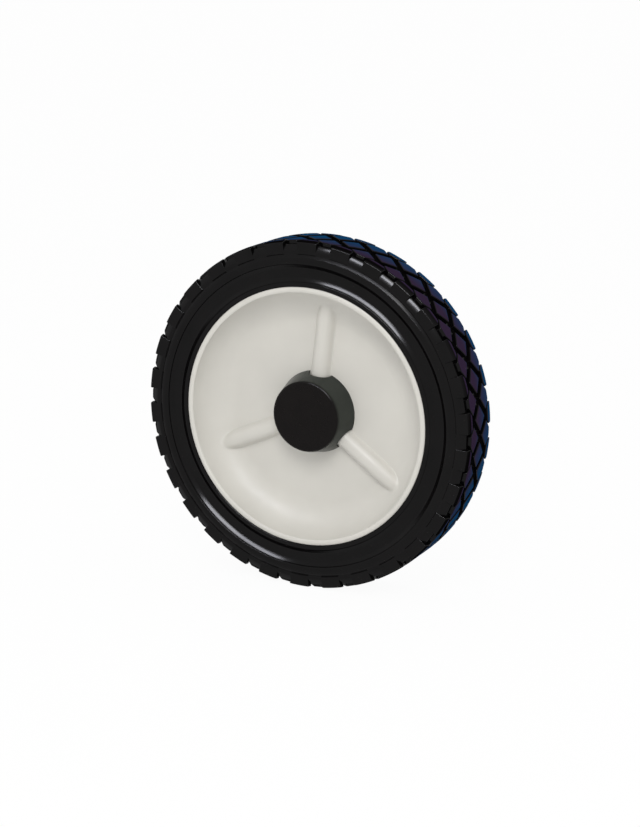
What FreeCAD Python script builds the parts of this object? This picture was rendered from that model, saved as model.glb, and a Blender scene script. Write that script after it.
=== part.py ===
import FreeCAD, Part

import math
import os

# Lawn mower wheel: a moulded hub with a dished face, a solid rubber tyre with a diamond tread,
# a push-on cap and two sealed ball bearings on a spacer sleeve. Millimetres, Z up, axle along Y,
# cap side towards -Y. The origin is on the axle, in the middle plane of the tyre.
# An angle round the wheel counts from the top, clockwise as seen from the cap side.

# Tyre
WHEEL_D = 201.6
TYRE_HEIGHT = 26.1
TREAD_W = 34.0
SHOULDER_W = 5.5
SHOULDER_RADIUS = 15.6
TREAD_PITCHES = 30
TREAD_PHASE = 1.5
DIAMOND_ROW = 9.0
GROOVE_W = 4.0
GROOVE_DEPTH = 2.3
FLOOR_SHOULDER_W = 4.6
FLOOR_SHOULDER_RADIUS = 4.2
FLOOR_SHOULDER_TURN = 80.0
RECESS_W = 9.0
RECESS_REACH = 3.8
LUG_REACH = 6.2
LUG_GROOVE_W = 1.0
LUG_LENGTH = 6.2
VALLEY_W = 2.0
VALLEY_DEPTH = 0.7
BAND_W = 4.8
BAND_STEP = 0.3
BAND_BULGE = 0.4
LINE_GROOVE_W = 0.8
LINE_GROOVE_DEPTH = 0.6
TROUGH_DEPTH = 2.0
BEAD_LIP_W = 2.9
BEAD_LIP_DROP = 0.3
BEAD_EDGE = 0.8

# Hub: rim, dished web and the three half-round ribs of its face
RIM_W = 33.2
RIM_LIP = 3.0
RIM_LIP_ROUND = 0.5
RIM_WALL = 3.7
CHANNEL_DEPTH = 4.8
CHANNEL_W = 11.0
CHANNEL_SLOPE = 4.5
WEB_FACE = 1.0
WEB_WALL = 3.5
BOWL_RADIUS = 19.0
FACE_RIBS = 3
FACE_RIB_PHASE = 6.6
FACE_RIB_RADIUS = 5.5
FACE_RIB_CORE = 5.0

# Hub: boss and the thin ribs behind the web
BOSS_D = 38.0
BOSS_END = 0.5
BOSS_CHAMFER = 0.8
LAND_BORE = 27.0
LAND_W = 6.0
BACK_RIBS = 6
BACK_RIB_T = 2.4
BACK_RIB_DROP = 2.2
BACK_FILLET = 2.0

# Cap, pushed over the boss
CAP_FACE_ROOM = 1.3
CAP_FLARE = 3.7
CAP_H = 15.0
CAP_WALL = 2.0
CAP_EDGE = 1.2
CAP_GRIPS = 6
CAP_GRIP_T = 1.6
CAP_GRIP_LEAD = 1.0

# Bearings and spacer
AXLE_D = 12.0
BEARING_D = 32.0
BEARING_W = 10.0
FRONT_BEARING = 0.0
BALLS = 7
BALL_D = 5.953
PITCH_D = 22.0
RACE_RADIUS = 3.1
INNER_SHOULDER_D = 18.2
OUTER_SHOULDER_D = 26.2
RING_CHAMFER = 0.5
SEAL_D = 28.2
SEAL_T = 0.7
SEAL_SINK = 0.25
LIP_STEP = 0.5
CAGE_SHEET = 0.5
CAGE_W = 2.0
RIVET_D = 0.9
RIVET_HEAD_D = 1.6
RIVET_HEAD_T = 0.3
SPACER_D = 16.4

# Clearances, each on one side
TYRE_CLEAR = 0.1
SEAT_CLEAR = 0.02
BALL_CLEAR = 0.06
CAGE_CLEAR = 0.08
RIVET_CLEAR = 0.03
SEAL_CLEAR = 0.02
LIP_CLEAR = 0.15
GRIP_CLEAR = 0.15
NOTCH_CLEAR = 1.3
SPACER_CLEAR = 0.15

ORIGIN = FreeCAD.Vector(0, 0, 0)
AXLE = FreeCAD.Vector(0, 1, 0)
UP = FreeCAD.Vector(0, 0, 1)

WHEEL_R = WHEEL_D / 2
RIM_R = WHEEL_R - TYRE_HEIGHT
PITCH = 360.0 / TREAD_PITCHES
REAR_BEARING = FRONT_BEARING + BEARING_W + LAND_W
CAP_FACE_D = BOSS_D + 2 * CAP_FACE_ROOM
CAP_BASE_D = CAP_FACE_D + 2 * CAP_FLARE


def section(*steps):
    """Closed face from steps of (radius, y), or (radius, y, via radius, via y) for an arc."""
    edges = []
    last = FreeCAD.Vector(*steps[-1][:2], 0)
    for radius, y, *via in steps:
        end = FreeCAD.Vector(radius, y, 0)
        if via:
            edge = Part.Arc(last, FreeCAD.Vector(*via, 0), end)
        else:
            edge = Part.LineSegment(last, end)
        edges.append(edge.toShape())
        last = end
    return Part.Face(Part.Wire(edges))


def turned(*steps, sweep=360.0):
    """Solid of revolution about the axle."""
    return section(*steps).revolve(ORIGIN, AXLE, sweep)


def cap_side(steps):
    """The same run of steps mirrored to the cap side, in reverse order."""
    run = []
    bend = ()
    for radius, y, *via in reversed(steps):
        run.append((radius, -y, *bend))
        bend = (via[0], -via[1]) if via else ()
    return run


def around(shape, count, phase=0.0):
    """Copies of a shape modelled at the top of the wheel, evenly spaced round the axle."""
    copies = []
    for index in range(count):
        copy = shape.copy()
        copy.rotate(ORIGIN, AXLE, phase + index * 360.0 / count)
        copies.append(copy)
    return copies


def corner_arc(start, corner, end):
    """Step that rounds a corner with an arc which leaves start and reaches end evenly."""
    middle = [(a + b) / 2 for a, b in zip(start, end)]
    via = [m + (c - m) * (math.sqrt(2.0) - 1.0) for m, c in zip(middle, corner)]
    return (*end, *via)


def drum_steps(radius, shoulder_w, shoulder_radius, shoulder_turn):
    """A drum's outline from its rear edge to its front edge: flat, with a round at each shoulder."""
    flat_y = TREAD_W / 2 - shoulder_w

    def shoulder(angle):
        drop = shoulder_radius * (1.0 - math.cos(angle))
        return radius - drop, flat_y + shoulder_radius * math.sin(angle)

    rear = [shoulder(shoulder_turn), (radius, flat_y, *shoulder(shoulder_turn / 2))]
    return rear + cap_side(rear)


def tread_floor():
    """Everything below the bottom of the grooves and recesses."""
    turn = math.radians(FLOOR_SHOULDER_TURN)
    floor = drum_steps(WHEEL_R - GROOVE_DEPTH, FLOOR_SHOULDER_W, FLOOR_SHOULDER_RADIUS, turn)
    edge = floor[0][0]
    return turned((0.0, -TREAD_W), (0.0, TREAD_W), (edge, TREAD_W), *floor, (edge, -TREAD_W))


def tread_prism(outline, side):
    """Radial prism at the top of the wheel over an outline of (way round, way across the tread)."""
    low = WHEEL_R - SHOULDER_RADIUS
    corners = [FreeCAD.Vector(x, side * y, low) for x, y in outline]
    face = Part.Face(Part.makePolygon(corners + corners[:1]))
    return face.extrude(UP * (WHEEL_R + GROOVE_DEPTH - low))


def tread_blocks():
    """Prisms of all diamonds and shoulder lugs: grooves of one width part the diamonds."""
    half_pitch = WHEEL_R * math.radians(PITCH / 2)
    lattice_edge = math.hypot(half_pitch, DIAMOND_ROW)
    share = 1.0 - GROOVE_W / 2 * lattice_edge / (half_pitch * DIAMOND_ROW)
    wide = half_pitch * share
    tall = DIAMOND_ROW * share
    diamond = [(-wide, 0.0), (0.0, -tall), (wide, 0.0), (0.0, tall)]
    end = TREAD_W / 2 - RECESS_REACH
    end_half = wide - (end - DIAMOND_ROW) * wide / tall
    blunt = [(x, DIAMOND_ROW + y) for x, y in diamond[:3]] + [(end_half, end), (-end_half, end)]
    lug_half = half_pitch - RECESS_W / 2
    lug_start = TREAD_W / 2 - LUG_REACH
    lug_end = TREAD_W / 2 + RECESS_REACH
    beside = half_pitch - wide - LUG_GROOVE_W * math.hypot(wide, tall) / tall
    tip_half = beside + (lug_start - DIAMOND_ROW) * wide / tall
    corner_y = DIAMOND_ROW + (lug_half - beside) * tall / wide
    right = [(tip_half, lug_start), (lug_half, corner_y), (lug_half, lug_end)]
    lug = right + [(-x, y) for x, y in reversed(right)]
    blocks = around(tread_prism(diamond, 1), TREAD_PITCHES, TREAD_PHASE)
    for side in (-1, 1):
        blocks += around(tread_prism(blunt, side), TREAD_PITCHES, TREAD_PHASE + PITCH / 2)
        blocks += around(tread_prism(lug, side), TREAD_PITCHES, TREAD_PHASE)
    return blocks


def rim_steps(wall):
    """Outer face of the rim from the middle plane to its edge, moved outwards by a wall."""
    flat = CHANNEL_W / 2
    low = RIM_R - CHANNEL_DEPTH + wall
    return [(low, flat), (RIM_R + wall, flat + CHANNEL_SLOPE)]


def make_tyre():
    crown_turn = math.asin(SHOULDER_W / SHOULDER_RADIUS)
    crown = drum_steps(WHEEL_R, SHOULDER_W, SHOULDER_RADIUS, crown_turn)
    lug_y = TREAD_W / 2
    lug_foot = crown[0][0] - LUG_LENGTH
    seat = RIM_R + TYRE_CLEAR
    lip_y = lug_y - BEAD_LIP_DROP
    lip_r = seat + BEAD_LIP_W
    band_outer = lug_foot - VALLEY_W
    band_inner = band_outer - BAND_W
    band_y = lug_y + BAND_STEP
    rear = rim_steps(TYRE_CLEAR) + [
        (seat, lip_y - BEAD_EDGE),
        corner_arc((seat, lip_y - BEAD_EDGE), (seat, lip_y), (seat + BEAD_EDGE, lip_y)),
        (lip_r, lip_y - BEAD_LIP_DROP),
        (band_inner - LINE_GROOVE_W, lug_y, (lip_r + band_inner) / 2, lug_y - TROUGH_DEPTH),
        (band_inner - LINE_GROOVE_W / 2, lug_y - LINE_GROOVE_DEPTH),
        (band_inner, band_y),
        (band_outer, band_y, (band_inner + band_outer) / 2, band_y + BAND_BULGE),
        (lug_foot - VALLEY_W / 3, lug_y - VALLEY_DEPTH),
        (lug_foot, lug_y),
    ]
    blank = turned(*rear, *crown, *cap_side(rear))
    return blank.common(tread_floor().fuse(tread_blocks()))


def back_rib():
    """One thin rib behind the web, from the boss to the middle of the rim's wall."""
    buried = RIM_WALL / 2
    low = RIM_R - CHANNEL_DEPTH - buried
    high = RIM_R - buried
    base = WEB_FACE + WEB_WALL / 2
    top = RIM_W / 2 - BACK_RIB_DROP
    root = BOSS_D / 2 - WEB_WALL / 2
    face = section(
        (root, base),
        (low, base),
        (low, CHANNEL_W / 2 + buried / 2),
        (high, CHANNEL_W / 2 + CHANNEL_SLOPE + buried / 2),
        (high, top),
        (root, top),
    )
    rib = face.extrude(FreeCAD.Vector(0, 0, BACK_RIB_T))
    rib.translate(FreeCAD.Vector(0, 0, -BACK_RIB_T / 2))
    rib.rotate(ORIGIN, AXLE, -90.0)
    return rib


def half_round(radius, inner, outer, bottom):
    """Bar along a spoke at the top of the wheel, rounded towards the cap side."""
    tip = WEB_FACE - radius
    edges = [
        Part.Arc(
            FreeCAD.Vector(-radius, WEB_FACE, inner),
            FreeCAD.Vector(0, tip, inner),
            FreeCAD.Vector(radius, WEB_FACE, inner),
        ),
        Part.LineSegment(
            FreeCAD.Vector(radius, WEB_FACE, inner), FreeCAD.Vector(radius, bottom, inner)
        ),
        Part.LineSegment(
            FreeCAD.Vector(radius, bottom, inner), FreeCAD.Vector(-radius, bottom, inner)
        ),
        Part.LineSegment(
            FreeCAD.Vector(-radius, bottom, inner), FreeCAD.Vector(-radius, WEB_FACE, inner)
        ),
    ]
    face = Part.Face(Part.Wire([edge.toShape() for edge in edges]))
    return face.extrude(FreeCAD.Vector(0, 0, outer - inner))


def make_hub():
    edge_y = RIM_W / 2
    root_y = edge_y - RIM_LIP_ROUND
    lip_r = RIM_R - RIM_LIP
    crest_r = RIM_R - RIM_LIP / 2
    bowl_y = WEB_FACE - BOWL_RADIUS
    bowl_start = lip_r - math.sqrt(BOWL_RADIUS**2 - (-root_y - bowl_y) ** 2)
    half_turn = math.atan2(lip_r - bowl_start, -root_y - bowl_y) / 2
    bowl_via = (
        bowl_start + BOWL_RADIUS * math.sin(half_turn),
        bowl_y + BOWL_RADIUS * math.cos(half_turn),
    )
    outer = rim_steps(0.0) + [(RIM_R, root_y), (lip_r, root_y, crest_r, edge_y)]
    web_back = WEB_FACE + WEB_WALL
    rim_low = RIM_R - CHANNEL_DEPTH - RIM_WALL
    boss_r = BOSS_D / 2
    seat_r = BEARING_D / 2 + SEAT_CLEAR
    front_end = FRONT_BEARING - BEARING_W / 2 - BOSS_END
    rear_end = REAR_BEARING + BEARING_W / 2 + BOSS_END
    land_front = FRONT_BEARING + BEARING_W / 2
    step_y = CHANNEL_W / 2 + CHANNEL_SLOPE
    pocket_outer = (rim_low, web_back)
    pocket_inner = (boss_r, web_back)
    hub = turned(
        (seat_r, front_end),
        (boss_r - BOSS_CHAMFER, front_end),
        (boss_r, front_end + BOSS_CHAMFER),
        (boss_r, WEB_FACE),
        (bowl_start, WEB_FACE),
        (lip_r, -root_y, *bowl_via),
        (RIM_R, -root_y, crest_r, -edge_y),
        *cap_side(rim_steps(0.0)),
        *outer,
        (lip_r, step_y + RIM_WALL / 4),
        (rim_low, CHANNEL_W / 2 + RIM_WALL / 4),
        (rim_low, web_back + BACK_FILLET),
        corner_arc((rim_low, web_back + BACK_FILLET), pocket_outer, (rim_low - BACK_FILLET, web_back)),
        (boss_r + BACK_FILLET, web_back),
        corner_arc((boss_r + BACK_FILLET, web_back), pocket_inner, (boss_r, web_back + BACK_FILLET)),
        (boss_r, rear_end - BOSS_CHAMFER),
        (boss_r - BOSS_CHAMFER, rear_end),
        (seat_r, rear_end),
        (seat_r, land_front + LAND_W),
        (LAND_BORE / 2, land_front + LAND_W),
        (LAND_BORE / 2, land_front),
        (seat_r, land_front),
    )
    root = boss_r - WEB_WALL / 2
    tip = RIM_R - CHANNEL_DEPTH - RIM_WALL / 2
    face_rib = half_round(FACE_RIB_RADIUS, root, tip, web_back - WEB_WALL / 2)
    core_end = bowl_start + FACE_RIB_RADIUS
    core = half_round(FACE_RIB_CORE / 2, boss_r + BACK_FILLET, core_end, web_back + WEB_WALL)
    back_phase = FACE_RIB_PHASE + 180.0 / BACK_RIBS
    face_ribs = around(face_rib, FACE_RIBS, FACE_RIB_PHASE)
    hub = hub.fuse(face_ribs + around(back_rib(), BACK_RIBS, back_phase))
    return hub.cut(around(core, FACE_RIBS, FACE_RIB_PHASE)).removeSplitter()


def make_cap():
    base = WEB_FACE
    face = base - CAP_H
    base_r = CAP_BASE_D / 2
    face_r = CAP_FACE_D / 2
    lean = (base_r - face_r) / CAP_H
    wall = CAP_WALL * math.hypot(1.0, lean)
    inner_face_r = face_r + lean * CAP_WALL - wall
    edge_foot = (face_r + lean * CAP_EDGE, face + CAP_EDGE)
    edge_top = (face_r - CAP_EDGE, face)
    shell = turned(
        (0.0, face),
        edge_top,
        corner_arc(edge_top, (face_r, face), edge_foot),
        (base_r, base),
        (base_r - wall, base),
        (inner_face_r, face + CAP_WALL),
        (0.0, face + CAP_WALL),
    )
    grip_r = BOSS_D / 2 + GRIP_CLEAR
    boss_front = FRONT_BEARING - BEARING_W / 2 - BOSS_END
    grip_low = base - CAP_GRIP_LEAD
    buried = CAP_WALL / 2
    grip = section(
        (grip_r, boss_front),
        (base_r - lean * (base - boss_front) - buried, boss_front),
        (base_r - lean * CAP_GRIP_LEAD - buried, grip_low),
        (grip_r + CAP_GRIP_LEAD / 2, grip_low),
        (grip_r, grip_low - CAP_GRIP_LEAD),
    ).extrude(FreeCAD.Vector(0, 0, CAP_GRIP_T))
    grip.translate(FreeCAD.Vector(0, 0, -CAP_GRIP_T / 2))
    grip.rotate(ORIGIN, AXLE, -90.0)
    notch_radius = FACE_RIB_RADIUS + NOTCH_CLEAR
    notch = half_round(notch_radius, BOSS_D / 4, base_r + NOTCH_CLEAR, base + NOTCH_CLEAR)
    grip_phase = FACE_RIB_PHASE + 180.0 / CAP_GRIPS
    cap = shell.fuse(around(grip, CAP_GRIPS, grip_phase))
    return cap.cut(around(notch, FACE_RIBS, FACE_RIB_PHASE)).removeSplitter()


def ring(outward, shoulder, seal_seat, seat_gap, plain_r):
    """One bearing ring, centred on y = 0; outward is 1 for the outer ring and -1 for the inner."""
    half = BEARING_W / 2
    race_floor = PITCH_D / 2 + outward * (BALL_D / 2 + BALL_CLEAR)
    race_centre = race_floor - outward * RACE_RADIUS
    groove = math.sqrt(RACE_RADIUS**2 - (shoulder - race_centre) ** 2)
    seal_floor = half - SEAL_SINK - SEAL_T - seat_gap
    rear = [
        (shoulder, groove),
        (shoulder, seal_floor),
        (seal_seat, seal_floor),
        (seal_seat, half),
        (plain_r - outward * RING_CHAMFER, half),
        (plain_r, half - RING_CHAMFER),
    ]
    front = cap_side(rear)
    race = (shoulder, groove, race_floor, 0.0)
    return turned(race, *rear[1:], *front)


def make_cage_half(side):
    """Half of a pressed ribbon cage: flat strips between cups that wrap the balls."""
    cup = BALL_D / 2 + CAGE_CLEAR
    band_inner = PITCH_D / 2 - CAGE_W / 2
    band_outer = PITCH_D / 2 + CAGE_W / 2
    reach = cup + CAGE_SHEET
    place = FreeCAD.Vector(0, 0, PITCH_D / 2)
    cups = around(Part.makeSphere(reach, place), BALLS)
    pockets = around(Part.makeSphere(cup, place), BALLS)
    edges = [(band_inner, 0.0), (band_outer, 0.0)]
    strip = turned(*edges, (band_outer, CAGE_SHEET), (band_inner, CAGE_SHEET))
    band = turned(*edges, (band_outer, reach), (band_inner, reach))
    hole_start = FreeCAD.Vector(0, -reach, PITCH_D / 2)
    hole = Part.makeCylinder(RIVET_D / 2 + RIVET_CLEAR, 2 * reach, hole_start, AXLE)
    holes = around(hole, BALLS, 180.0 / BALLS)
    half = strip.fuse(cups).common(band).cut(pockets + holes).removeSplitter()
    return half if side > 0 else half.mirror(ORIGIN, AXLE)


def make_rivets():
    shank = Part.makeCylinder(
        RIVET_D / 2, 2 * CAGE_SHEET, FreeCAD.Vector(0, -CAGE_SHEET, PITCH_D / 2), AXLE
    )
    heads = [
        Part.makeCylinder(RIVET_HEAD_D / 2, RIVET_HEAD_T, FreeCAD.Vector(0, y, PITCH_D / 2), AXLE)
        for y in (CAGE_SHEET, -CAGE_SHEET - RIVET_HEAD_T)
    ]
    rivet = shank.fuse(heads).removeSplitter()
    return Part.makeCompound(around(rivet, BALLS, 180.0 / BALLS))


def make_seal(side):
    """Rubber shield ring, snapped into the outer ring, with a lip close to the inner ring."""
    outer = SEAL_D / 2 - SEAL_CLEAR
    lip = INNER_SHOULDER_D / 2 - LIP_STEP + LIP_CLEAR
    low = BEARING_W / 2 - SEAL_SINK - SEAL_T
    high = low + SEAL_T
    dish = SEAL_T / 3
    steps = [
        (lip, low),
        (outer, low),
        (outer, high),
        (outer - SEAL_T, high),
        (outer - SEAL_T - dish, high - dish),
        (lip + SEAL_T + dish, high - dish),
        (lip + SEAL_T, high),
        (lip, high),
    ]
    return turned(*(steps if side > 0 else cap_side(steps)))


def make_bearing(name, y, outward):
    """Nodes of one bearing at its place on the axle; outward is the side that faces the open."""
    lip_seat = INNER_SHOULDER_D / 2 - LIP_STEP
    ball = Part.makeSphere(BALL_D / 2, FreeCAD.Vector(0, 0, PITCH_D / 2))
    pieces = {
        "inner_ring": ring(-1, INNER_SHOULDER_D / 2, lip_seat, LIP_CLEAR, AXLE_D / 2),
        "outer_ring": ring(1, OUTER_SHOULDER_D / 2, SEAL_D / 2, 0.0, BEARING_D / 2),
        "balls": Part.makeCompound(around(ball, BALLS)),
        "cage_front": make_cage_half(-1),
        "cage_rear": make_cage_half(1),
        "cage_rivets": make_rivets(),
        "outer_seal": make_seal(outward),
        "inner_seal": make_seal(-outward),
    }
    for piece in pieces.values():
        piece.translate(FreeCAD.Vector(0, y, 0))
    return {f"{name}_bearing_{piece}": shape for piece, shape in pieces.items()}


def make_spacer():
    front = FRONT_BEARING + BEARING_W / 2
    bore = AXLE_D / 2 + SPACER_CLEAR
    outer = SPACER_D / 2
    return turned((bore, front), (outer, front), (outer, front + LAND_W), (bore, front + LAND_W))


nodes = {
    "tyre": make_tyre(),
    "hub": make_hub(),
    "hub_cap": make_cap(),
    "spacer_sleeve": make_spacer(),
    **make_bearing("front", FRONT_BEARING, -1),
    **make_bearing("rear", REAR_BEARING, 1),
}
os.makedirs("parts", exist_ok=True)
for node, shape in nodes.items():
    shape.exportStep(f"parts/{node}.step")
    print(node, len(shape.Solids), shape.isValid(), round(shape.Volume, 1))
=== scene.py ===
import math

import bmesh
import bpy
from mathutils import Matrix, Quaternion, Vector


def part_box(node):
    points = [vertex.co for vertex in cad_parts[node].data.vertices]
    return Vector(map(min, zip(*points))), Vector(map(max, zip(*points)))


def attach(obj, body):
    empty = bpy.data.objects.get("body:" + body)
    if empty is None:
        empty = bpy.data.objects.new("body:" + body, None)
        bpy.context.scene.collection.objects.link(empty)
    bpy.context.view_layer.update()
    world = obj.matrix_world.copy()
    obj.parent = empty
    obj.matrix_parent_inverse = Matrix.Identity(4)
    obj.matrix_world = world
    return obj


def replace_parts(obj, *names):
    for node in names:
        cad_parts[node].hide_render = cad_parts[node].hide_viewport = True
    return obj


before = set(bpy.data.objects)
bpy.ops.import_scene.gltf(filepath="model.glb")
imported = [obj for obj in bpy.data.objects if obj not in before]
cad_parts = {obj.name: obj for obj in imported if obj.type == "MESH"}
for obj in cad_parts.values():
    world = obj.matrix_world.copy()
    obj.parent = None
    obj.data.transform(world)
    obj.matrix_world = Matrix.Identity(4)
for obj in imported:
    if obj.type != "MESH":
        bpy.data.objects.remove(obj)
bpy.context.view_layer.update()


# Hub: one off-white plastic moulding that carries everything else. Its face is a smooth dish with
# three half-round ribs that run out into the wall of the dish; six thin ribs stiffen its back.
mm = 0.001
rim_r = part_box("hub")[1].z
rim_half = -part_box("hub")[0].y
boss_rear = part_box("hub")[1].y
web_face = 1.0 * mm
web_back = web_face + 3.5 * mm
lip_w = 3.0 * mm
lip_drop = 0.5 * mm
dish_radius = 19.0 * mm
boss_r = 19.0 * mm
boss_front = -5.5 * mm
boss_chamfer = 0.8 * mm
seat_r = 16.02 * mm
land_r = 13.5 * mm
land_span = (5.0 * mm, 11.0 * mm)
channel_r = rim_r - 4.8 * mm
channel_half = 5.5 * mm
channel_edge = 10.0 * mm
rim_wall = 3.7 * mm
back_fillet = 2.0 * mm
face_ribs = 3
face_rib_phase = math.radians(6.6)
face_rib_radius = 5.5 * mm
face_rib_draft = math.radians(70.0)
face_rib_blend = 1.5 * mm
face_rib_taper = 1.2 * mm
taper_span = (52.0 * mm, 64.0 * mm)
core_radius = 2.5 * mm
core_end = 57.7 * mm
core_wall = 0.1 * mm
back_rib_count = 6
back_rib_phase = face_rib_phase + math.radians(30.0)
back_rib_w = 2.4 * mm
back_rib_drop = 2.2 * mm
back_rib_edge = 0.5 * mm


def arc(start, via, end, steps):
    """Points after start, up to end, on the circle through via."""
    (ax, ay), (bx, by), (cx, cy) = start, via, end
    twice = 2.0 * (ax * (by - cy) + bx * (cy - ay) + cx * (ay - by))
    aa, bb, cc = ax * ax + ay * ay, bx * bx + by * by, cx * cx + cy * cy
    ox = (aa * (by - cy) + bb * (cy - ay) + cc * (ay - by)) / twice
    oy = (aa * (cx - bx) + bb * (ax - cx) + cc * (bx - ax)) / twice
    radius = math.hypot(ax - ox, ay - oy)
    first = math.atan2(ay - oy, ax - ox)
    middle = (math.atan2(by - oy, bx - ox) - first) % math.tau
    sweep = (math.atan2(cy - oy, cx - ox) - first) % math.tau
    if middle > sweep:
        sweep -= math.tau
    turns = [first + sweep * step / steps for step in range(1, steps + 1)]
    return [(ox + radius * math.cos(turn), oy + radius * math.sin(turn)) for turn in turns]


def run(start, end, steps):
    """Points after start, up to end, evenly spaced on a straight line."""
    shares = [step / steps for step in range(1, steps + 1)]
    return [(start[0] + (end[0] - start[0]) * t, start[1] + (end[1] - start[1]) * t) for t in shares]


def corner(start, point, end, steps):
    """Points after start, up to end, on an even round that cuts off a corner."""
    via = [(a + b) / 2 * (2.0 - math.sqrt(2.0)) + c * (math.sqrt(2.0) - 1.0)
           for a, b, c in zip(start, end, point)]
    return arc(start, via, end, steps)


def rib_height(across, radius):
    """Height of a half-round rib over the web: drafted flanks, and slimmer towards the tip."""
    along = max(radius - taper_span[0], 0.0) / (taper_span[1] - taper_span[0])
    top = face_rib_radius - face_rib_taper * along**2
    across = abs(across)
    flank = top * math.sin(face_rib_draft)
    if across < flank:
        return math.sqrt(top**2 - across**2)
    return top * math.cos(face_rib_draft) - (across - flank) * math.tan(face_rib_draft)


def blended(first, second, reach):
    """The larger of two heights, with a fillet where they are close."""
    overlap = max(reach - abs(first - second), 0.0)
    return max(first, second) + overlap * overlap / (4.0 * reach)


def column_turns(radius):
    """Angles of the hub's columns: close together and parallel across each rib, even between ribs."""
    across = [0.0, 1.0, 1.8, 2.46, 2.54, 3.2, 3.9, 4.5, 4.9, 5.2, 5.5, 5.8, 6.2, 6.7, 7.3, 8.0, 9.0]
    half = [math.asin(value * mm / radius) for value in across]
    rest = 20
    end = math.pi / face_ribs
    half += [half[-1] + (end - half[-1]) * step / rest for step in range(1, rest + 1)]
    turns = [-turn for turn in reversed(half[1:])] + half[:-1]
    return [face_rib_phase + rib * math.tau / face_ribs + turn
            for rib in range(face_ribs) for turn in turns], turns * face_ribs


def hub_rows():
    """The hub's section as rows of (radius, y, side), from the bearing seat round and back again."""
    lip_r = rim_r - lip_w
    root = rim_half - lip_drop
    crest = rim_r - lip_w / 2
    dish_y = web_face - dish_radius
    dish_start = lip_r - math.sqrt(dish_radius**2 - (-root - dish_y) ** 2)
    half_turn = math.atan2(lip_r - dish_start, -root - dish_y) / 2
    dish_via = (
        dish_start + dish_radius * math.sin(half_turn),
        dish_y + dish_radius * math.cos(half_turn),
    )
    wall_r = channel_r - rim_wall
    face = [(boss_r, web_face)]
    face += run(face[-1], (dish_start, web_face), 14)
    face += arc(face[-1], dish_via, (lip_r, -root), 34)
    lip = arc(face[-1], (crest, -rim_half), (rim_r, -root), 10)
    channel = [(rim_r, -channel_edge), (channel_r, -channel_half)]
    channel += [(channel_r, channel_half), (rim_r, channel_edge)]
    rear_lip = [(rim_r, root)]
    rear_lip += arc(rear_lip[-1], (crest, rim_half), (lip_r, root), 10)
    wall = [(lip_r, channel_edge + rim_wall / 4), (wall_r, channel_half + rim_wall / 4)]
    wall += [(wall_r, web_back + back_fillet)]
    wall += corner(wall[-1], (wall_r, web_back), (wall_r - back_fillet, web_back), 5)
    back = [(core_end + core_wall / 2, web_back), (core_end - core_wall / 2, web_back)]
    back += run(back[-1], (boss_r + back_fillet + core_wall, web_back), 10)
    boss = [(boss_r + back_fillet, web_back)]
    boss += corner(boss[-1], (boss_r, web_back), (boss_r, web_back + back_fillet), 5)
    boss += [(boss_r, boss_rear - boss_chamfer), (boss_r - boss_chamfer, boss_rear), (seat_r, boss_rear)]
    boss += [(seat_r, land_span[1]), (land_r, land_span[1]), (land_r, land_span[0]), (seat_r, land_span[0])]
    nose = [(seat_r, boss_front), (boss_r - boss_chamfer, boss_front), (boss_r, boss_front + boss_chamfer)]
    rim = lip + channel + rear_lip + wall
    sides = (("plain", nose), ("face", face), ("plain", rim), ("back", back), ("plain", boss))
    return [(radius, y, side) for side, points in sides for radius, y in points]


def hub_mesh():
    """Turned section of the hub with the face ribs raised and the cores behind them sunk."""
    bm = bmesh.new()
    rows = []
    for radius, y, side in hub_rows():
        turns, local = column_turns(radius)
        row = []
        for turn, place in zip(turns, local):
            across = radius * math.sin(place)
            depth = y
            if side == "face":
                depth = web_face - blended(web_face - y, rib_height(across, radius), face_rib_blend)
            if side == "back" and abs(across) < core_radius and radius < core_end:
                depth = web_face - math.sqrt(core_radius**2 - across**2)
            row.append(bm.verts.new((radius * math.sin(turn), depth, radius * math.cos(turn))))
        rows.append(row)
    for row, after in zip(rows, rows[1:] + rows[:1]):
        for a, b, c, d in zip(row, row[1:] + row[:1], after[1:] + after[:1], after):
            bm.faces.new((a, b, c, d))
    return bm


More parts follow.
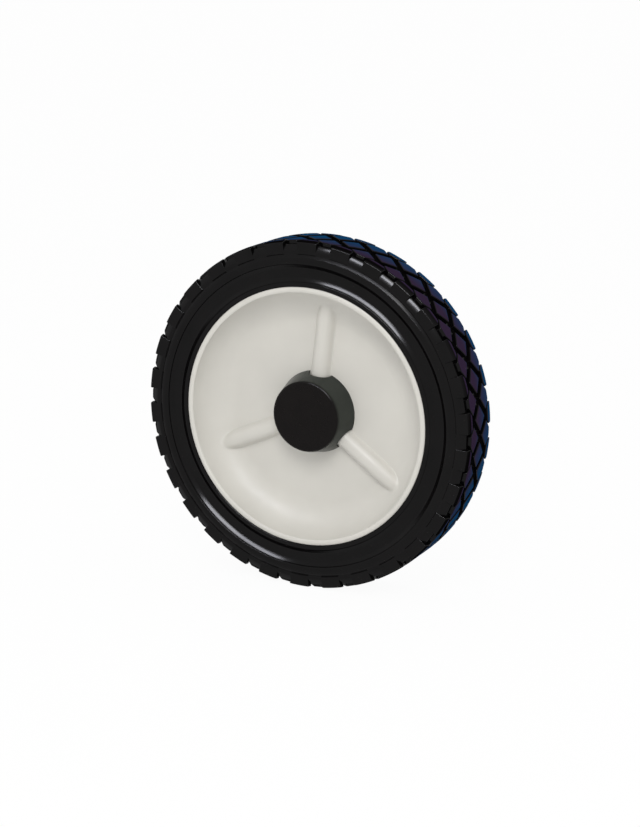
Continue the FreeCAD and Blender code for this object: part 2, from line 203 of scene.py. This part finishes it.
def repeated(piece, copies, phase, name):
    """Geometry Nodes: copies of the object's own mesh evenly round the axle, joined at their seams."""
    tree = bpy.data.node_groups.new(name, "GeometryNodeTree")
    face = tree.interface
    face.new_socket("Geometry", in_out="INPUT", socket_type="NodeSocketGeometry")
    count = face.new_socket("Copies", in_out="INPUT", socket_type="NodeSocketInt")
    start = face.new_socket("Phase", in_out="INPUT", socket_type="NodeSocketFloat")
    finish = face.new_socket("Material", in_out="INPUT", socket_type="NodeSocketMaterial")
    face.new_socket("Geometry", in_out="OUTPUT", socket_type="NodeSocketGeometry")
    add = tree.nodes.new
    source, result = add("NodeGroupInput"), add("NodeGroupOutput")
    line, index = add("GeometryNodeMeshLine"), add("GeometryNodeInputIndex")
    line.inputs["Offset"].default_value = (0.0, 0.0, 0.0)
    step, turn, axis = add("ShaderNodeMath"), add("ShaderNodeMath"), add("ShaderNodeCombineXYZ")
    step.operation = "DIVIDE"
    step.inputs[0].default_value = math.tau
    turn.operation = "MULTIPLY_ADD"
    place, real = add("GeometryNodeInstanceOnPoints"), add("GeometryNodeRealizeInstances")
    merge, coat = add("GeometryNodeMergeByDistance"), add("GeometryNodeSetMaterial")
    merge.inputs["Distance"].default_value = 0.002 * mm
    link = tree.links.new
    link(source.outputs["Copies"], line.inputs["Count"])
    link(source.outputs["Copies"], step.inputs[1])
    link(index.outputs[0], turn.inputs[0])
    link(step.outputs[0], turn.inputs[1])
    link(source.outputs["Phase"], turn.inputs[2])
    link(turn.outputs[0], axis.inputs["Y"])
    link(line.outputs["Mesh"], place.inputs["Points"])
    link(source.outputs["Geometry"], place.inputs["Instance"])
    link(axis.outputs[0], place.inputs["Rotation"])
    link(place.outputs["Instances"], real.inputs["Geometry"])
    link(real.outputs["Geometry"], merge.inputs["Geometry"])
    link(merge.outputs["Geometry"], coat.inputs["Geometry"])
    link(source.outputs["Material"], coat.inputs["Material"])
    link(coat.outputs["Geometry"], result.inputs["Geometry"])
    modifier = piece.modifiers.new(name, "NODES")
    modifier.node_group = tree
    modifier[count.identifier] = copies
    modifier[start.identifier] = phase
    modifier[finish.identifier] = piece.data.materials[0]
    return plain_mesh(piece)


def plain_mesh(piece):
    """Turns the object's modifiers into mesh."""
    bpy.context.view_layer.update()
    graph = bpy.context.evaluated_depsgraph_get()
    mesh = bpy.data.meshes.new_from_object(piece.evaluated_get(graph))
    piece.modifiers.clear()
    piece.data = mesh
    mesh.name = piece.name
    return piece


def new_piece(bm, name, material):
    """Object at the origin from a finished bmesh, with its normals outwards."""
    bmesh.ops.recalc_face_normals(bm, faces=bm.faces)
    mesh = bpy.data.meshes.new(name)
    bm.to_mesh(mesh)
    bm.free()
    mesh.materials.append(material)
    piece = bpy.data.objects.new(name, mesh)
    bpy.context.scene.collection.objects.link(piece)
    return piece


def softened(piece, angle):
    """Smooth shading, broken where faces meet more sharply than the angle, with flat faces kept flat."""
    mesh = piece.data
    mesh.polygons.foreach_set("use_smooth", [True] * len(mesh.polygons))
    mesh.set_sharp_from_angle(angle=math.radians(angle))
    weighted = piece.modifiers.new("flat faces", "WEIGHTED_NORMAL")
    weighted.keep_sharp = True
    return plain_mesh(piece)


def noise_node(nodes, links, coords, size, detail):
    """Noise in metres: one lump is about as large as size."""
    noise = nodes.new("ShaderNodeTexNoise")
    noise.inputs["Scale"].default_value = 1.0 / size
    noise.inputs["Detail"].default_value = detail
    links.new(coords, noise.inputs["Vector"])
    return noise.outputs["Fac"]


def ramp_node(nodes, links, fac, low, high, start=0.3, end=0.7):
    """Colour that goes from low to high as fac goes from start to end."""
    ramp = nodes.new("ShaderNodeValToRGB")
    ramp.color_ramp.elements[0].position = start
    ramp.color_ramp.elements[1].position = end
    ramp.color_ramp.elements[0].color = (*low, 1.0)
    ramp.color_ramp.elements[1].color = (*high, 1.0)
    links.new(fac, ramp.inputs["Fac"])
    return ramp.outputs["Color"]


def span_node(nodes, links, value, start, end, low=0.0, high=1.0):
    """Number that goes from low to high as the value goes from start to end."""
    span = nodes.new("ShaderNodeMapRange")
    for name, number in (("From Min", start), ("From Max", end), ("To Min", low), ("To Max", high)):
        span.inputs[name].default_value = number
    links.new(value, span.inputs["Value"])
    return span.outputs["Result"]


def range_node(nodes, links, noise, low, high):
    """Number that goes from low to high over the middle of a noise."""
    return span_node(nodes, links, noise, 0.3, 0.7, low, high)


def bump_node(nodes, links, height, strength, depth, under=None):
    """Bump of a real depth in metres, over another bump where one is given."""
    bump = nodes.new("ShaderNodeBump")
    bump.inputs["Strength"].default_value = strength
    bump.inputs["Distance"].default_value = depth
    links.new(height, bump.inputs["Height"])
    if under is not None:
        links.new(under, bump.inputs["Normal"])
    return bump.outputs["Normal"]


def new_material(name):
    """Material with its shader, node lists and Object coordinates."""
    material = bpy.data.materials.new(name)
    material.use_nodes = True
    nodes, links = material.node_tree.nodes, material.node_tree.links
    coords = nodes.new("ShaderNodeTexCoord").outputs["Object"]
    return material, nodes["Principled BSDF"], nodes, links, coords


def hub_plastic():
    """Moulded off-white plastic: slightly uneven colour, a soft gloss and a faint flow texture."""
    material, shader, nodes, links, coords = new_material("hub_plastic")
    clouds = noise_node(nodes, links, coords, 30 * mm, 3.0)
    white = ramp_node(nodes, links, clouds, (0.580, 0.566, 0.526), (0.615, 0.600, 0.558))
    links.new(white, shader.inputs["Base Color"])
    satin = noise_node(nodes, links, coords, 6 * mm, 4.0)
    links.new(range_node(nodes, links, satin, 0.42, 0.54), shader.inputs["Roughness"])
    grain = noise_node(nodes, links, coords, 0.5 * mm, 2.0)
    waves = noise_node(nodes, links, coords, 12 * mm, 1.0)
    fine = bump_node(nodes, links, grain, 0.25, 0.02 * mm)
    links.new(bump_node(nodes, links, waves, 0.3, 0.12 * mm, fine), shader.inputs["Normal"])
    shader.inputs["Specular IOR Level"].default_value = 0.3
    return material


def back_rib_mesh():
    """One thin rib behind the web, from the boss to the rim, with rounded edges."""
    top = rim_half - back_rib_drop
    base = (web_face + web_back) / 2
    root = boss_r - (web_back - web_face) / 2
    low = channel_r - rim_wall / 2
    high = rim_r - rim_wall / 2
    outline = [(root, base), (low, base), (low, channel_half + rim_wall / 4),
               (high, channel_edge + rim_wall / 4), (high, top), (root, top)]
    bm = bmesh.new()
    sides = (-back_rib_w / 2, back_rib_w / 2)
    rings = [[bm.verts.new((x, y, radius)) for radius, y in outline] for x in sides]
    bm.faces.new(rings[0])
    bm.faces.new(list(reversed(rings[1])))
    for a, b, c, d in zip(rings[0], rings[0][1:] + rings[0][:1], rings[1][1:] + rings[1][:1], rings[1]):
        bm.faces.new((d, c, b, a))
    bmesh.ops.bevel(bm, geom=bm.edges[:], offset=back_rib_edge, segments=3, profile=0.5, affect="EDGES")
    return bm


def joined(piece, other):
    """Adds another object's mesh to a piece and removes that object."""
    bm = bmesh.new()
    bm.from_mesh(piece.data)
    bm.from_mesh(other.data)
    bm.to_mesh(piece.data)
    bm.free()
    bpy.data.objects.remove(other)
    return piece


hub_finish = hub_plastic()
back_ribs = new_piece(back_rib_mesh(), "hub_back_ribs", hub_finish)
repeated(back_ribs, back_rib_count, back_rib_phase, "ribs behind the web")
hub = joined(new_piece(hub_mesh(), "hub_moulding", hub_finish), back_ribs)
softened(hub, angle=32)
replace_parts(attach(hub, "wheel"), "hub")


# Tyre: one solid black rubber moulding, stretched over the rim. A round carcass carries rows of
# diamond blocks that end in lugs at both shoulders; the sidewall has a band, a trough and a lip.
wheel_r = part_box("tyre")[1].z
tread_half = 17.0 * mm
pitches = 30
pitch_phase = math.radians(1.5)
crown_flat = 11.5 * mm
crown_round = 15.6 * mm
row_step = 9.0 * mm
groove_w = 4.0 * mm
groove_depth = 2.3 * mm
floor_flat = 14.7 * mm
recess_foot = wheel_r - 5.9 * mm
recess_w = 9.0 * mm
diamond_end = 13.2 * mm
lug_start = 10.8 * mm
lug_groove_w = 1.0 * mm
lug_length = 6.2 * mm
lug_sink = 0.15 * mm
block_edge = 0.5 * mm
block_root = 3.0 * mm
seat_clear = 0.1 * mm
bead_drop = 0.3 * mm
bead_w = 2.9 * mm
bead_round = 0.8 * mm
band_w = 4.2 * mm
band_gap = 2.0 * mm
band_rise = 0.3 * mm
band_crown = 0.37 * mm
trough_depth = 2.45 * mm
recess_bulge = (0.04 * mm, 0.08 * mm)
# Painted sheen on the tread: a violet reflection colour that turns blue at flatter view angles and further
# towards the rear.
painted_sheen_violet = (0.027, 0.016, 0.036)
painted_sheen_blue = (0.004, 0.040, 0.105)
sheen_hue_turn_per_m = 10.0


def crown_radius(y):
    """Radius of the tread's outer face at a place across it."""
    past = max(abs(y) - crown_flat, 0.0)
    return wheel_r - crown_round + math.sqrt(crown_round**2 - past**2)


def carcass_rows():
    """Section of the tyre below its blocks, from the middle of the rim to the middle of the tread."""
    bead_r = rim_r + seat_clear
    bead_y = tread_half - bead_drop
    lip_r = bead_r + bead_w
    lug_foot = crown_radius(tread_half) - lug_length
    band_outer = lug_foot - band_gap
    band_inner = band_outer - band_w
    band_y = tread_half + band_rise
    floor_r = wheel_r - groove_depth
    points = [(channel_r + seat_clear, 0.0), (channel_r + seat_clear, channel_half), (bead_r, channel_edge)]
    points += [(bead_r, bead_y - bead_round)]
    points += corner(points[-1], (bead_r, bead_y), (bead_r + bead_round, bead_y), 6)
    points += run(points[-1], (lip_r - 0.5 * mm, bead_y - 0.15 * mm), 3)
    points += corner(points[-1], (lip_r - 0.1 * mm, bead_y - 0.2 * mm), (lip_r, bead_y - 0.65 * mm), 4)
    low = tread_half - trough_depth
    wall_end = (lip_r + 2.3 * mm, bead_y - 2.0 * mm)
    points += arc(points[-1], (lip_r + 1.15 * mm, bead_y - 1.37 * mm), wall_end, 6)
    points += corner(points[-1], (lip_r + 2.6 * mm, low), (lip_r + 3.2 * mm, low), 4)
    points += run(points[-1], (band_inner - 3.0 * mm, low), 3)
    points += corner(points[-1], (band_inner - 2.4 * mm, low), (band_inner - 2.1 * mm, low + 0.2 * mm), 4)
    points += arc(points[-1], (band_inner - 1.0 * mm, low + 1.0 * mm), (band_inner, low + 1.8 * mm), 6)
    band_edge = (band_inner + 0.5 * mm, band_y + 0.1 * mm)
    points += corner(points[-1], (band_inner + 0.1 * mm, band_y), band_edge, 5)
    crest = ((band_inner + band_outer) / 2, band_y + band_crown)
    points += arc(points[-1], crest, (band_outer - 0.2 * mm, band_y + 0.05 * mm), 8)
    points += corner(points[-1], (band_outer, band_y), (band_outer + 0.1 * mm, band_y - 0.2 * mm), 4)
    points += [(lug_foot - 0.67 * mm, tread_half - 0.5 * mm), (lug_foot - 0.1 * mm, tread_half - 0.3 * mm)]
    points += [(lug_foot + 0.2 * mm, tread_half - 0.1 * mm), (recess_foot, tread_half - 0.1 * mm)]
    face_top = (floor_r - 0.25 * mm, floor_flat + 0.45 * mm)
    face_middle = [(a + b) / 2 + out for a, b, out in zip(points[-1], face_top, recess_bulge)]
    points += arc(points[-1], face_middle, face_top, 8)
    points += corner(points[-1], (floor_r, floor_flat + 0.28 * mm), (floor_r, floor_flat), 4)
    points += run(points[-1], (floor_r, 0.0), 3)
    return points


def pitch_mesh():
    """One pitch of the tyre at the top of the wheel: a wedge of carcass with its tread blocks."""
    bm = bmesh.new()
    half_rows = carcass_rows()
    rows = half_rows + [(radius, -y) for radius, y in reversed(half_rows[1:-1])]
    steps = 8
    columns = []
    for step in range(steps + 1):
        turn = math.tau / pitches * (step / steps - 0.5)
        columns.append([bm.verts.new((r * math.sin(turn), y, r * math.cos(turn))) for r, y in rows])
    for column, after in zip(columns, columns[1:]):
        for a, b, c, d in zip(column, column[1:] + column[:1], after[1:] + after[:1], after):
            bm.faces.new((a, b, c, d))
    half_pitch = math.pi * wheel_r / pitches
    share = 1.0 - groove_w / 2 * math.hypot(half_pitch, row_step) / (half_pitch * row_step)
    wide, tall = half_pitch * share, row_step * share
    diamond = [(-wide, 0.0), (0.0, -tall), (wide, 0.0), (0.0, tall)]
    end_half = wide - (diamond_end - row_step) * wide / tall
    blunt = [(x, row_step + y) for x, y in diamond[:3]]
    blunt += [(end_half, diamond_end), (-end_half, diamond_end)]
    lug_half = half_pitch - recess_w / 2
    beside = half_pitch - wide - lug_groove_w * math.hypot(wide, tall) / tall
    tip_half = beside + (lug_start - row_step) * wide / tall
    lug_corner = row_step + (lug_half - beside) * tall / wide
    right = [(tip_half, lug_start), (lug_half, lug_corner), (lug_half, tread_half)]
    lug = right + [(-x, y) for x, y in reversed(right)]
    lug_foot = crown_radius(tread_half) - lug_length - lug_sink
    add_block(bm, diamond, None)
    for side in (-1, 1):
        add_block(bm, [(half_pitch + x, side * y) for x, y in blunt], None)
        add_block(bm, [(x, side * y) for x, y in lug], lug_foot)
    return bm


def add_block(bm, outline, foot):
    """Rubber block over an outline of (way round, way across), with round edges, bent onto the tread."""
    block = bmesh.new()
    buried = groove_depth + block_root
    top = [block.verts.new((x, y, 0.0)) for x, y in outline]
    bottom = [block.verts.new((x, y, -buried)) for x, y in outline]
    if foot is not None:
        for vert in bottom:
            vert.co.z = foot - (tread_half - abs(vert.co.y)) - crown_radius(vert.co.y)
    block.faces.new(top)
    block.faces.new(list(reversed(bottom)))
    for a, b, c, d in zip(top, top[1:] + top[:1], bottom[1:] + bottom[:1], bottom):
        block.faces.new((a, d, c, b))
    base = set(bottom)
    edges = [edge for edge in block.edges if not base.issuperset(edge.verts)]
    bmesh.ops.bevel(block, geom=edges, offset=block_edge, segments=3, profile=0.5, affect="EDGES")
    for way, reach, step in ((Vector((1, 0, 0)), 20 * mm, 2.7 * mm), (Vector((0, 1, 0)), 16 * mm, 2 * mm)):
        for index in range(int(2 * reach / step) + 1):
            cut = way * (index * step - reach)
            geom = block.verts[:] + block.edges[:] + block.faces[:]
            bmesh.ops.bisect_plane(block, geom=geom, dist=1e-7, plane_co=cut, plane_no=way)
    for vert in block.verts:
        x, y, height = vert.co
        radius = crown_radius(max(min(y, tread_half), -tread_half)) + height
        turn = x / wheel_r
        vert.co = (radius * math.sin(turn), y, radius * math.cos(turn))
    bmesh.ops.recalc_face_normals(block, faces=block.faces)
    mesh = bpy.data.meshes.new("block")
    block.to_mesh(mesh)
    block.free()
    bm.from_mesh(mesh)
    bpy.data.meshes.remove(mesh)


def outward_node(nodes, links, coords):
    """Vector from the axle straight out to the place."""
    flat = nodes.new("ShaderNodeVectorMath")
    flat.operation = "MULTIPLY"
    flat.inputs[1].default_value = (1.0, 0.0, 1.0)
    links.new(coords, flat.inputs[0])
    return flat.outputs[0]


def radius_node(nodes, links, coords):
    """Distance from the axle."""
    spread = nodes.new("ShaderNodeVectorMath")
    spread.operation = "LENGTH"
    links.new(outward_node(nodes, links, coords), spread.inputs[0])
    return spread.outputs["Value"]


def reach_node(nodes, links, coords, start, end):
    """Zero within the first distance from the axle, one past the second."""
    return span_node(nodes, links, radius_node(nodes, links, coords), start, end)


def product_node(nodes, links, first, second):
    """Product of two numbers."""
    product = nodes.new("ShaderNodeMath")
    product.operation = "MULTIPLY"
    links.new(first, product.inputs[0])
    links.new(second, product.inputs[1])
    return product.outputs[0]


def mix_node(nodes, links, share, first, second):
    """Colour that goes from the first to the second with a share."""
    mix = nodes.new("ShaderNodeMix")
    mix.data_type = "RGBA"
    links.new(share, mix.inputs["Factor"])
    links.new(first, mix.inputs[6])
    links.new(second, mix.inputs[7])
    return mix.outputs[2]


def painted_sheen_node(nodes, links, coords):
    """Share of the painted sheen: only on the outer faces of the blocks, and full at flat view angles."""
    outward, along = nodes.new("ShaderNodeVectorMath"), nodes.new("ShaderNodeVectorMath")
    outward.operation, along.operation = "NORMALIZE", "DOT_PRODUCT"
    links.new(outward_node(nodes, links, coords), outward.inputs[0])
    links.new(outward.outputs[0], along.inputs[0])
    links.new(nodes["Texture Coordinate"].outputs["Normal"], along.inputs[1])
    top = span_node(nodes, links, along.outputs["Value"], 0.80, 0.90)
    tread = reach_node(nodes, links, coords, wheel_r - groove_depth, wheel_r - groove_depth / 2)
    facing = nodes.new("ShaderNodeLayerWeight").outputs["Facing"]
    return product_node(nodes, links, product_node(nodes, links, facing, top), tread)


def tyre_rubber():
    """Black solid rubber: glossy from the mould, a fine grain, and a painted violet to blue sheen on the
    tread.
    """
    material, shader, nodes, links, coords = new_material("tyre_rubber")
    clouds = noise_node(nodes, links, coords, 14 * mm, 5.0)
    black = ramp_node(nodes, links, clouds, (0.0019, 0.0017, 0.0018), (0.0033, 0.0029, 0.0031))
    mottle_and_sheen = painted_sheen_node(nodes, links, coords)
    across, hue = nodes.new("ShaderNodeSeparateXYZ"), nodes.new("ShaderNodeMath")
    hue.operation = "MULTIPLY_ADD"
    hue.inputs[1].default_value = sheen_hue_turn_per_m
    links.new(coords, across.inputs[0])
    links.new(across.outputs["Y"], hue.inputs[0])
    links.new(mottle_and_sheen, hue.inputs[2])
    # Painted sheen: this reflection colour is mixed into the base colour of the block tops where they are
    # seen at flat angles, except on the front lugs; the coat's gloss fades out where it lies.
    painted_sheen_colour = ramp_node(nodes, links, hue.outputs[0], painted_sheen_violet, painted_sheen_blue, start=0.58, end=0.84)
    cover = span_node(nodes, links, mottle_and_sheen, 0.34, 0.50)
    behind_lugs = span_node(nodes, links, across.outputs["Y"], -diamond_end, 1.0 * mm - diamond_end)
    share = product_node(nodes, links, cover, behind_lugs)
    links.new(mix_node(nodes, links, share, black, painted_sheen_colour), shader.inputs["Base Color"])
    gloss = span_node(nodes, links, mottle_and_sheen, 0.25, 0.50, low=0.24, high=0.0)
    links.new(gloss, shader.inputs["Coat Weight"])
    shader.inputs["Coat Roughness"].default_value = 0.145
    shader.inputs["Specular IOR Level"].default_value = 0.0
    satin = noise_node(nodes, links, coords, 3 * mm, 4.0)
    links.new(range_node(nodes, links, satin, 0.35, 0.5), shader.inputs["Roughness"])
    grain = noise_node(nodes, links, coords, 0.35 * mm, 2.0)
    waves = noise_node(nodes, links, coords, 5 * mm, 2.0)
    fine = bump_node(nodes, links, grain, 0.2, 0.01 * mm)
    relief = bump_node(nodes, links, waves, 0.2, 0.05 * mm, fine)
    links.new(relief, shader.inputs["Normal"])
    links.new(relief, shader.inputs["Coat Normal"])
    return material


tyre = new_piece(pitch_mesh(), "tyre_moulding", tyre_rubber())
repeated(tyre, pitches, pitch_phase, "pitches of the tread")
softened(tyre, angle=40)
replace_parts(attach(tyre, "wheel"), "tyre")


# Cap: a black plastic cup pushed over the boss. Its skirt is notched to sit astride the three
# face ribs, and six ribs inside it grip the boss.
cap_face_r = boss_r + 1.3 * mm


def cad_copy(node, name, material, angle):
    """Smooth-shaded copy of a node's own mesh, which then stands for the node."""
    bm = bmesh.new()
    bm.from_mesh(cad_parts[node].data)
    bmesh.ops.remove_doubles(bm, verts=bm.verts, dist=0.0005 * mm)
    mesh = bpy.data.meshes.new(name)
    bm.to_mesh(mesh)
    bm.free()
    mesh.materials.clear()
    mesh.materials.append(material)
    for polygon in mesh.polygons:
        polygon.material_index = 0
    piece = bpy.data.objects.new(name, mesh)
    bpy.context.scene.collection.objects.link(piece)
    softened(piece, angle)
    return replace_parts(piece, node)


def cap_plastic():
    """Black moulded plastic: smooth and semi-gloss, with a faint cloudiness, and a painted grey-green
    reflection of the pale hub on its skirt.
    """
    material, shader, nodes, links, coords = new_material("cap_plastic")
    clouds = noise_node(nodes, links, coords, 8 * mm, 4.0)
    black = ramp_node(nodes, links, clouds, (0.0032, 0.0022, 0.0021), (0.0044, 0.0032, 0.0030))
    # Painted reflection: the skirt is coloured grey-green to stand in for the pale hub seen in it.
    painted_reflection_grey = ramp_node(nodes, links, clouds, (0.030, 0.033, 0.029), (0.034, 0.038, 0.033))
    skirt = reach_node(nodes, links, coords, cap_face_r - 0.2 * mm, cap_face_r + 0.6 * mm)
    links.new(mix_node(nodes, links, skirt, black, painted_reflection_grey), shader.inputs["Base Color"])
    shader.inputs["Specular IOR Level"].default_value = 0.1
    satin = noise_node(nodes, links, coords, 2 * mm, 5.0)
    links.new(range_node(nodes, links, satin, 0.20, 0.27), shader.inputs["Roughness"])
    grain = noise_node(nodes, links, coords, 0.4 * mm, 2.0)
    links.new(bump_node(nodes, links, grain, 0.1, 0.006 * mm), shader.inputs["Normal"])
    return material


cap = cad_copy("hub_cap", "push_on_cap", cap_plastic(), angle=34)
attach(cap, "cap")


# Bearings and sleeve: two sealed ball bearings pressed into the boss, held apart by a plated tube.
# Rings and balls are ground steel, the riveted cages pressed sheet and the seals black rubber.


def steel(name, colour, roughness, streaks):
    """Bare or plated steel with fine turning marks round the axle and a little uneven gloss."""
    material, shader, nodes, links, coords = new_material(name)
    patch = noise_node(nodes, links, coords, 5 * mm, 2.0)
    darker = tuple(channel * 0.9 for channel in colour)
    links.new(ramp_node(nodes, links, patch, darker, colour), shader.inputs["Base Color"])
    satin = range_node(nodes, links, patch, roughness * 0.85, roughness * 1.2)
    links.new(satin, shader.inputs["Roughness"])
    split, rings = nodes.new("ShaderNodeSeparateXYZ"), nodes.new("ShaderNodeCombineXYZ")
    links.new(coords, split.inputs[0])
    links.new(radius_node(nodes, links, coords), rings.inputs["X"])
    links.new(split.outputs["Y"], rings.inputs["Y"])
    marks = noise_node(nodes, links, rings.outputs[0], streaks, 2.0)
    links.new(bump_node(nodes, links, marks, 0.2, 0.003 * mm), shader.inputs["Normal"])
    shader.inputs["Metallic"].default_value = 1.0
    return material


def seal_rubber():
    """Black moulded rubber of the bearing seals, matt with a fine grain."""
    material, shader, nodes, links, coords = new_material("seal_rubber")
    mottle_and_sheen = noise_node(nodes, links, coords, 3 * mm, 4.0)
    black = ramp_node(nodes, links, mottle_and_sheen, (0.010, 0.010, 0.011), (0.018, 0.018, 0.019))
    links.new(black, shader.inputs["Base Color"])
    links.new(range_node(nodes, links, mottle_and_sheen, 0.5, 0.65), shader.inputs["Roughness"])
    grain = noise_node(nodes, links, coords, 0.25 * mm, 2.0)
    links.new(bump_node(nodes, links, grain, 0.4, 0.02 * mm), shader.inputs["Normal"])
    return material


ground_steel = steel("ground_steel", (0.62, 0.62, 0.63), roughness=0.24, streaks=0.12 * mm)
ball_steel = steel("ball_steel", (0.70, 0.70, 0.72), roughness=0.08, streaks=0.3 * mm)
cage_sheet = steel("cage_sheet", (0.52, 0.50, 0.46), roughness=0.34, streaks=0.2 * mm)
sealing = seal_rubber()
shown_parts = {
    "inner_ring": (ground_steel, "axle_sleeve", "bearing_steel"),
    "outer_seal": (sealing, "wheel", "seal_rubber"),
    "outer_ring": (ground_steel, "wheel", "bearing_steel"),
}
inner_parts = {
    "balls": ball_steel,
    "cage_front": cage_sheet,
    "cage_rear": cage_sheet,
    "cage_rivets": cage_sheet,
    "inner_seal": sealing,
}
for place in ("front", "rear"):
    for part, (finish, body, slot) in shown_parts.items():
        piece = cad_copy(f"{place}_bearing_{part}", f"{place}_{part}", finish, angle=30)
        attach(piece, body)
    for part, finish in inner_parts.items():
        for material_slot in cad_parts[f"{place}_bearing_{part}"].material_slots:
            material_slot.material = finish
tube = steel("plated_tube", (0.60, 0.61, 0.62), roughness=0.3, streaks=0.15 * mm)
sleeve = cad_copy("spacer_sleeve", "sleeve_tube", tube, angle=30)
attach(sleeve, "axle_sleeve")


# Studio: a white floor under the wheel in a white room, a large soft lamp above and in front of the
# wheel, a long thin lamp beside it that draws the highlights, and the camera.
floor_reach = 40.0
floor_glow = 0.95
room_light = 0.82


def seen_directly(nodes, links):
    """One for rays of the camera, of reflections and of things seen through, else zero."""
    path = nodes.new("ShaderNodeLightPath")
    total = path.outputs["Is Camera Ray"]
    for kind in ("Is Glossy Ray", "Is Transmission Ray"):
        either = nodes.new("ShaderNodeMath")
        either.operation = "ADD"
        either.use_clamp = True
        links.new(total, either.inputs[0])
        links.new(path.outputs[kind], either.inputs[1])
        total = either.outputs[0]
    return total


def floor_white():
    """White floor that shows its soft shadows faintly and is plain white elsewhere."""
    material, shader, nodes, links, coords = new_material("floor_white")
    speck = noise_node(nodes, links, coords, 0.2, 3.0)
    pale = ramp_node(nodes, links, speck, (0.86, 0.86, 0.86), (0.88, 0.88, 0.88))
    links.new(pale, shader.inputs["Base Color"])
    shader.inputs["Roughness"].default_value = 0.9
    shader.inputs["Specular IOR Level"].default_value = 0.1
    glow, mix = nodes.new("ShaderNodeEmission"), nodes.new("ShaderNodeMixShader")
    glow.inputs["Strength"].default_value = 1.0
    share = nodes.new("ShaderNodeMath")
    share.operation = "MULTIPLY"
    share.inputs[1].default_value = floor_glow
    links.new(seen_directly(nodes, links), share.inputs[0])
    links.new(share.outputs[0], mix.inputs["Fac"])
    links.new(shader.outputs[0], mix.inputs[1])
    links.new(glow.outputs[0], mix.inputs[2])
    links.new(mix.outputs[0], nodes["Material Output"].inputs["Surface"])
    return material


floor_bm = bmesh.new()
bmesh.ops.create_grid(floor_bm, x_segments=1, y_segments=1, size=floor_reach)
floor = new_piece(floor_bm, "floor", floor_white())
floor.location.z = -wheel_r

world = bpy.data.worlds.new("studio")
bpy.context.scene.world = world
world.use_nodes = True
sky = world.node_tree.nodes["Background"]
sky.inputs["Color"].default_value = (1.0, 1.0, 1.0, 1.0)
sky_nodes, sky_links = world.node_tree.nodes, world.node_tree.links
level = span_node(sky_nodes, sky_links, seen_directly(sky_nodes, sky_links), 0.0, 1.0, room_light, 1.0)
sky_links.new(level, sky.inputs["Strength"])


def soft_lamp(name, direction, distance, roll, width, height, power, colour):
    """Rectangular soft lamp that looks at the wheel from a direction, rolled about its own axis."""
    lamp = bpy.data.lights.new(name, "AREA")
    lamp.shape = "RECTANGLE"
    lamp.size, lamp.size_y = width, height
    lamp.energy = power
    lamp.color = colour
    holder = bpy.data.objects.new(name, lamp)
    bpy.context.scene.collection.objects.link(holder)
    way = Vector(direction).normalized()
    holder.location = way * distance
    turn = way.to_track_quat("Z", "Y") @ Quaternion((0.0, 0.0, 1.0), math.radians(roll))
    holder.rotation_euler = turn.to_euler()
    return holder


soft_lamp("key", (0.28, -0.70, 0.66), distance=1.3, roll=0.0, width=0.5, height=0.5,
          power=6.0, colour=(1.0, 0.99, 0.965))
strip = soft_lamp("strip", (0.08, -0.73, 0.68), distance=1.2, roll=-28.0, width=0.97, height=0.12,
                  power=16.5, colour=(0.90, 0.91, 1.0))
strip.visible_diffuse = False

camera = bpy.data.cameras.new("camera")
camera.lens = 83.86
camera.sensor_width = 36.0
camera.shift_x = 0.0048
camera.shift_y = -0.0023
eye = bpy.data.objects.new("camera", camera)
bpy.context.scene.collection.objects.link(eye)
azimuth, elevation, distance = math.radians(26.55), math.radians(14.38), 1.1
eye.location = (
    distance * math.sin(azimuth) * math.cos(elevation),
    -distance * math.cos(azimuth) * math.cos(elevation),
    distance * math.sin(elevation),
)
eye.rotation_euler = (math.pi / 2 - elevation, 0.0, azimuth)
bpy.context.scene.camera = eye
bpy.context.scene.view_settings.view_transform = "Standard"
